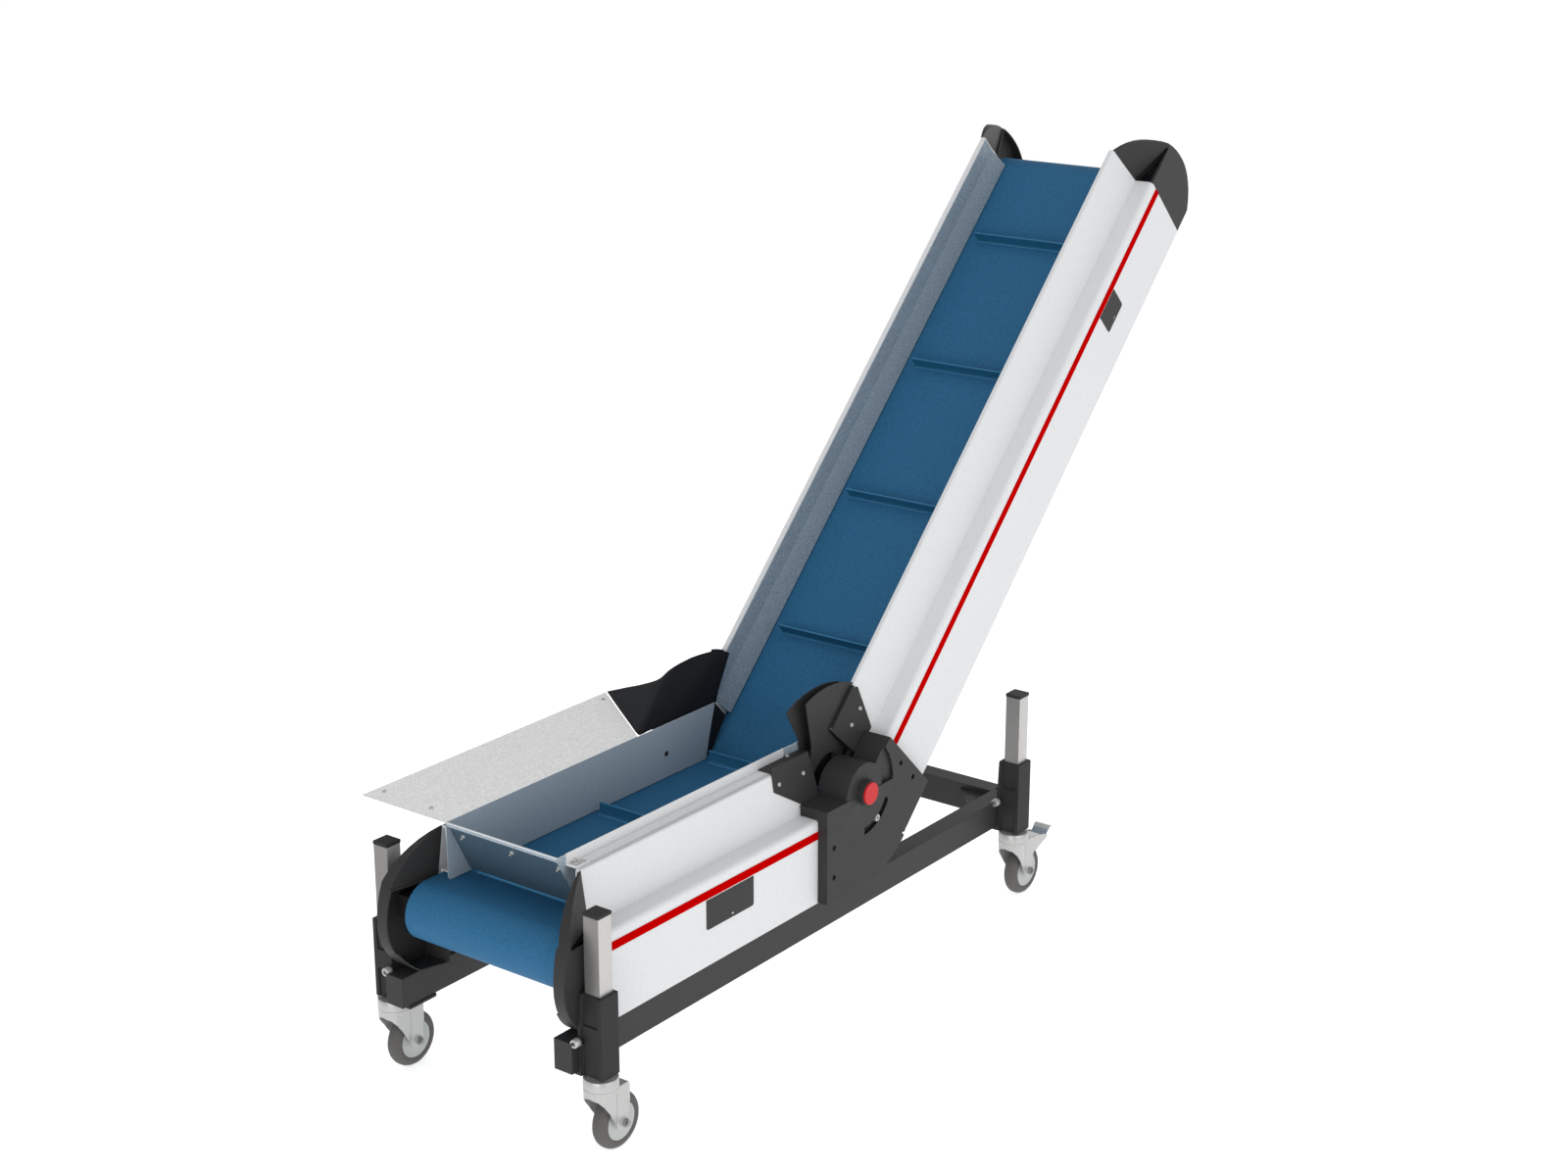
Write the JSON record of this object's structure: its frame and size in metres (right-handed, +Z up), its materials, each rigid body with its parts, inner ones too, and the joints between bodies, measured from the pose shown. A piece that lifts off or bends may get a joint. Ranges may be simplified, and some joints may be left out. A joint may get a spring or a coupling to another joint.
{
  "type": "mobile knee belt conveyor",
  "caption": "Mobile belt conveyor on castors with a flat hopper infeed, a jointed knee and a steep cleated discharge section.",
  "frame": {"origin": "on the floor, in the middle plane of the belt, under the axis line of the two front leg tubes", "axes": "+X from infeed to discharge, +Z up, +Y to the side with the wide hopper flange"},
  "size_m": [2.4455, 0.731, 1.8111],
  "materials": {
    "frame_paint": "dark grey powder coat, semi-matt",
    "black_casting": "black textured, semi-matt",
    "tube_aluminium": "satin anodised",
    "white_coating": "light grey-white fine-speckled coating",
    "red_stripe": "plain red strip",
    "black_plastic": "black moulded, fine grain",
    "bare_sheet": "bare sheet, fine grain",
    "blue_belt": "matt blue belt, fine texture",
    "dark_steel": "dark steel, semi-matt",
    "red_plastic": "smooth red",
    "zinc_plate": "bright zinc, pressed",
    "grey_plastic": "light grey moulded",
    "grey_tyre": "grey-brown tread"
  },
  "bodies": {
    "root": {"rail_near": "frame_paint", "rail_far": "frame_paint", "crossbar": "frame_paint", "holder_front_near": "black_casting", "holder_front_far": "black_casting", "holder_rear_near": "black_casting", "holder_rear_far": "black_casting", "side_lower_near": "white_coating", "side_lower_far": "white_coating", "stripes_lower": "red_stripe", "hatch_lower": "black_plastic", "bed_lower": "bare_sheet", "belt_lower": "blue_belt", "tail_drum": "dark_steel", "tail_cap_near": "black_plastic", "tail_cap_far": "black_plastic", "pan_lower": "white_coating", "hopper_front": "bare_sheet", "guard_near": "bare_sheet", "guard_far": "bare_sheet", "wing_far": "black_plastic", "leaf_near": "black_plastic", "knee_floor": "white_coating", "knee_fixed_near": "black_plastic", "knee_fixed_far": "black_plastic", "hub_caps": "red_plastic"},
    "incline": {"side_upper_near": "white_coating", "side_upper_far": "white_coating", "stripes_upper": "red_stripe", "hatch_upper": "black_plastic", "bed_upper": "bare_sheet", "belt_upper": "blue_belt", "head_drum": "dark_steel", "head_cap_near": "black_plastic", "head_cap_far": "black_plastic", "pan_upper": "white_coating", "knee_arm_near": "black_plastic", "knee_arm_far": "black_plastic"},
    "leg_front_near_body": {"leg_front_near": "tube_aluminium", "leg_cap_front_near": "black_casting"},
    "leg_front_far_body": {"leg_front_far": "tube_aluminium", "leg_cap_front_far": "black_casting"},
    "leg_rear_near_body": {"leg_rear_near": "tube_aluminium", "leg_cap_rear_near": "black_casting"},
    "leg_rear_far_body": {"leg_rear_far": "tube_aluminium", "leg_cap_rear_far": "black_casting"},
    "castor_front_near": {"fork_front_near": "zinc_plate"},
    "castor_front_far": {"fork_front_far": "zinc_plate"},
    "castor_rear_near": {"fork_rear_near": "zinc_plate"},
    "castor_rear_far": {"fork_rear_far": "zinc_plate"},
    "wheel_front_near": {"hub_front_near": "grey_plastic", "tyre_front_near": "grey_tyre"},
    "wheel_front_far": {"hub_front_far": "grey_plastic", "tyre_front_far": "grey_tyre"},
    "wheel_rear_near": {"hub_rear_near": "grey_plastic", "tyre_rear_near": "grey_tyre"},
    "wheel_rear_far": {"hub_rear_far": "grey_plastic", "tyre_rear_far": "grey_tyre"}
  },
  "joints": [
    {"name": "knee", "type": "hinge", "parent": "root", "child": "incline", "pos_m": [0.926, 0, 0.4915], "axis": [0, -1, 0], "range_deg": [-40, 10]},
    {"name": "leg_slide_front_near", "type": "slide", "parent": "root", "child": "leg_front_near_body", "axis": [0, 0, -1], "range_m": [0, 0.15]},
    {"name": "swivel_front_near", "type": "hinge", "parent": "leg_front_near_body", "child": "castor_front_near", "pos_m": [0, -0.293, 0.16], "axis": [0, 0, 1], "continuous": true},
    {"name": "spin_front_near", "type": "hinge", "parent": "castor_front_near", "child": "wheel_front_near", "pos_m": [0.042, -0.293, 0.0625], "axis": [0, 1, 0], "continuous": true},
    {"name": "leg_slide_front_far", "type": "slide", "parent": "root", "child": "leg_front_far_body", "axis": [0, 0, -1], "range_m": [0, 0.15]},
    {"name": "swivel_front_far", "type": "hinge", "parent": "leg_front_far_body", "child": "castor_front_far", "pos_m": [0, 0.293, 0.16], "axis": [0, 0, 1], "continuous": true},
    {"name": "spin_front_far", "type": "hinge", "parent": "castor_front_far", "child": "wheel_front_far", "pos_m": [0.042, 0.293, 0.0625], "axis": [0, 1, 0], "continuous": true},
    {"name": "leg_slide_rear_near", "type": "slide", "parent": "root", "child": "leg_rear_near_body", "axis": [0, 0, -1], "range_m": [0, 0.15]},
    {"name": "swivel_rear_near", "type": "hinge", "parent": "leg_rear_near_body", "child": "castor_rear_near", "pos_m": [1.563, -0.293, 0.16], "axis": [0, 0, 1], "continuous": true},
    {"name": "spin_rear_near", "type": "hinge", "parent": "castor_rear_near", "child": "wheel_rear_near", "pos_m": [1.605, -0.293, 0.0625], "axis": [0, 1, 0], "continuous": true},
    {"name": "leg_slide_rear_far", "type": "slide", "parent": "root", "child": "leg_rear_far_body", "axis": [0, 0, -1], "range_m": [0, 0.15]},
    {"name": "swivel_rear_far", "type": "hinge", "parent": "leg_rear_far_body", "child": "castor_rear_far", "pos_m": [1.563, 0.293, 0.16], "axis": [0, 0, 1], "continuous": true},
    {"name": "spin_rear_far", "type": "hinge", "parent": "castor_rear_far", "child": "wheel_rear_far", "pos_m": [1.605, 0.293, 0.0625], "axis": [0, 1, 0], "continuous": true}
  ]
}
